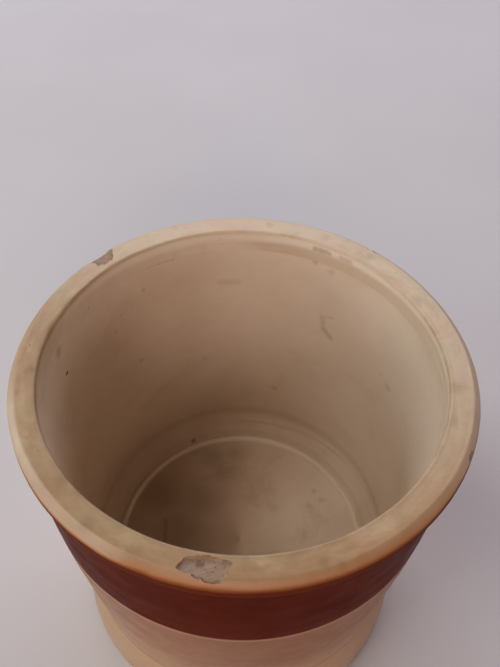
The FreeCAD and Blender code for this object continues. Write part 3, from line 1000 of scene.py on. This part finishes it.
def body_relief(theta, radius, height):
    free = (1 - fade(height, BAND_LOW - 3.0, BAND_LOW)) * fade(height, GLAZE_LOW, GLAZE_LOW + 2.0)
    lower_edge = np.exp(-((height - GLAZE_LOW) / 1.2) ** 2)
    up = lower_edge * ripples(theta, 0 * height, (0.25, 53, 22, 26, 0.0, 0.01))
    up = np.where(height < GLAZE_LOW + 6, np.clip(up, -0.5, 0.5), 0)
    return free * outer_ripples(theta, height, seed=51), up


def foot_relief(theta, radius, height):
    bare = ((height < GLAZE_LOW - 0.3) & (radius > 76.8)) | ((height < 8.5) & (radius < 77.2))
    out = ripples(theta, height, (0.07, 61, 3, 20, 0.15, 0.7), (0.04, 62, 50, 40, 0.05, 0.8))
    up = (np.abs(ripples(theta, radius, (0.05, 63, 3, 20, 0.15, 0.6)))
          + np.abs(ripples(theta, radius, (0.06, 64, 40, 40, 0.1, 0.6))))
    return np.where(bare & (height > 0.4), out, 0), np.where(bare & (height < 0.6), up, 0)


def slab_relief(theta, radius, height):
    """A turning spiral on the underside."""
    under = (height < 10) & (radius < 76.0)
    spiral = 0.22 * np.sin(theta + TAU * radius / 5.5)
    spiral = spiral * fade(radius, 3, 12) * (1 - fade(radius, 68, 75))
    fine = ripples(theta, radius, (0.06, 71, 20, 40, 0.05, 0.6))
    fine = fine * fade(radius, 6, 20) * (1 - fade(radius, 70, 75))
    return 0.0, np.where(under, spiral + fine, 0)


# ------------------------------------------------------------------ the seven pieces
rim_angles = dense_angles(CHIP_SPOTS, fine=0.14, coarse=0.5)
coat_angles = even_angles(full=900)

liner = glaze_coat("inside_liner_glaze", liner_face, join(clay_well, clay_inside),
                   coat_angles, liner_glaze, liner_relief)
rim = glaze_coat("rim_buff_glaze", rim_face, clay_rim, rim_angles, rim_glaze, rim_relief)
wall = lathe("thrown_wall_clay", join(
    clay_inside, clay_rim, clay_band, clay_lower,
    spline([SEAT_OUT, SEAT_IN], step=1.0),
    spline([SEAT_IN, STEP_OUT], step=1.2),
    spline([STEP_OUT, STEP_IN], step=1.0))[:-1], rim_angles, plain_clay)

cutters = [
    chip_cutter("cut_front", CHIP_FRONT, depth=1.0, seed=31, rough=0.12, step=0.12, power=14.0),
    chip_cutter("cut_left", CHIP_BACK_LEFT, depth=1.0, seed=47, rough=0.10, step=0.10,
                power=14.0),
    chip_cutter("cut_back_right", CHIP_BACK_RIGHT, depth=0.70, seed=53, rough=0.05, step=0.05,
                power=2.4, rings=10, spokes=64),
    chip_cutter("cut_right", CHIP_RIGHT, depth=1.6, seed=61, rough=0.10, step=0.10, power=4.0,
                rings=14, spokes=90)]
apply_cuts(rim, cutters, broken_glaze)
apply_cuts(wall, cutters, broken_clay)
for cutter in cutters:
    cutter_mesh = cutter.data
    bpy.data.objects.remove(cutter)
    bpy.data.meshes.remove(cutter_mesh)
shade(rim)
shade(wall)

band = glaze_coat("brown_band_coat", band_face, clay_band, coat_angles, brown_glaze, band_relief)
body = glaze_coat("cream_body_coat", body_face, join(clay_lower, clay_foot), coat_angles,
                  body_glaze, body_relief)
foot = lathe("flared_foot_ring_clay", join(
    clay_foot, clay_heel,
    spline([(88.6, 0.0), (79.5, 0.0)], step=0.8), ring_inside,
    spline([RING_TOP_IN, SLAB_SIDE_LOW], step=1.0),
    spline([SLAB_SIDE_LOW, SLAB_SIDE_HIGH], step=2.0),
    spline([SLAB_SIDE_HIGH, SEAT_IN], step=1.5),
    spline([SEAT_IN, SEAT_OUT], step=1.0))[:-1], coat_angles, foot_clay, foot_relief)
slab = lathe("floor_slab_clay", join(
    clay_well,
    spline([STEP_IN, STEP_OUT], step=1.0),
    spline([STEP_OUT, SEAT_IN], step=1.5),
    spline([SEAT_IN, SLAB_SIDE_HIGH], step=1.5),
    spline([SLAB_SIDE_HIGH, SLAB_SIDE_LOW], step=2.0),
    slab_under), even_angles(full=600), foot_clay, slab_relief)

for obj, node, slot in ((liner, "liner_glaze", "cream_liner_glaze"),
                        (rim, "rim_glaze", "buff_rim_glaze"),
                        (band, "brown_band_glaze", "brown_glaze"),
                        (body, "lower_body_glaze", "cream_body_glaze"),
                        (wall, "stoneware_wall", "bare_stoneware"),
                        (slab, "stoneware_floor", "bare_stoneware"),
                        (foot, "stoneware_foot_ring", "bare_stoneware")):
    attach(obj, "root")
    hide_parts(node)


# ------------------------------------------------------------------ floor
BACKDROP = (203, 198, 201)


def floor_material():
    """Pale floor that turns into the backdrop colour far off, for the camera only."""
    mat = Material("pale_floor")
    mottle = mat.noise(3.0, detail=3, rough=0.5).ramp(0.3, 0.7)
    mat.finish(mat.mix(mottle, (222, 216, 218), (227, 222, 223)), rough=0.7, spec=0.2)
    glow = mat.node("ShaderNodeEmission", ((0, srgb(BACKDROP)),))
    seen = mat.node("ShaderNodeLightPath", output="Is Camera Ray")
    far_off = seen * mat.radius.ramp(0.95, 1.9)
    blend = mat.node("ShaderNodeMixShader", enumerate((far_off, mat.shader, glow)))
    mat.put(mat.surface, blend)
    return mat.data


floor_mesh = bpy.data.meshes.new("floor")
disc = bmesh.new()
bmesh.ops.create_circle(disc, cap_ends=True, cap_tris=False, segments=96, radius=6.0)
disc.to_mesh(floor_mesh)
disc.free()
floor_mesh.materials.append(floor_material())
new_object("floor", floor_mesh)


# ------------------------------------------------------------------ lights and world
AIM = Vector((0, 0, top_z * 0.7))


def area(name, place, size, power, colour, size_y=None):
    """A rectangular light turned towards the crock, hidden from the camera."""
    light = bpy.data.lights.new(name, "AREA")
    light.energy = power
    light.color = colour
    light.shape = "RECTANGLE"
    light.size = size
    light.size_y = size_y or size
    lamp = new_object(name, light)
    lamp.location = place
    lamp.rotation_euler = (AIM - Vector(place)).to_track_quat("-Z", "Y").to_euler()
    lamp.visible_camera = False


area("window_high", place=(-1.5, 0.2, 2.6), size=0.9, power=4.0, colour=(0.92, 0.99, 1.0))
area("window_high_left", place=(-1.1, -0.7, 2.7), size=0.9, power=12.6, colour=(1.0, 0.96, 0.89))
area("window_low", place=(-2.0, 0.25, 0.70), size=1.0, power=12.0, colour=(0.84, 0.98, 1.0))
area("back_wall", place=(0.1, 1.2, 1.1), size=2.0, power=13.0, colour=(0.94, 0.91, 1.0),
     size_y=0.6)
area("front_left", place=(-1.5, -1.3, 1.5), size=1.2, power=4.6, colour=(0.95, 1.0, 1.0))
area("front_low", place=(0.0, -1.5, 0.7), size=1.0, power=9.0, colour=(1.0, 0.78, 0.72))

# the camera sees the backdrop colour; everything else gets a faint bluish fill
world = bpy.data.worlds.new("studio")
world.use_nodes = True
nodes, links = world.node_tree.nodes, world.node_tree.links
backdrop = nodes["Background"]
backdrop.inputs["Color"].default_value = srgb(BACKDROP)
backdrop.inputs["Strength"].default_value = 1.0
fill = nodes.new("ShaderNodeBackground")
fill.inputs["Color"].default_value = (0.9, 0.92, 1.0, 1)
fill.inputs["Strength"].default_value = 0.01
path = nodes.new("ShaderNodeLightPath")
either = nodes.new("ShaderNodeMixShader")
links.new(path.outputs["Is Camera Ray"], either.inputs[0])
links.new(fill.outputs[0], either.inputs[1])
links.new(backdrop.outputs[0], either.inputs[2])
links.new(either.outputs[0], nodes["World Output"].inputs[0])
scene.world = world
scene.view_settings.view_transform = "Standard"

# ------------------------------------------------------------------ camera, looking into the mouth
CAMERA_FRONT = 0.1950      # in front of the axis
CAMERA_ABOVE = 0.2319      # above the rim
yaw, pitch, roll = math.radians(0.623), math.radians(47.71), math.radians(-1.737)

forward = Vector((math.sin(yaw) * math.cos(pitch), math.cos(yaw) * math.cos(pitch),
                  -math.sin(pitch)))
level = Vector((math.cos(yaw), -math.sin(yaw), 0))
down = forward.cross(level)
rolled_right = level * math.cos(roll) + down * math.sin(roll)
rolled_down = -level * math.sin(roll) + down * math.cos(roll)
camera_data = bpy.data.cameras.new("camera")
camera_data.sensor_width = 36.0
camera_data.lens = 37.7811094
camera_data.clip_start = 0.01
camera_data.clip_end = 20
pose = Matrix((rolled_right, -rolled_down, -forward)).transposed().to_4x4()
pose.translation = Vector((0.0, -CAMERA_FRONT, top_z + CAMERA_ABOVE))
camera = bpy.data.objects.new("camera", camera_data)
camera.matrix_world = pose
scene.collection.objects.link(camera)
scene.camera = camera
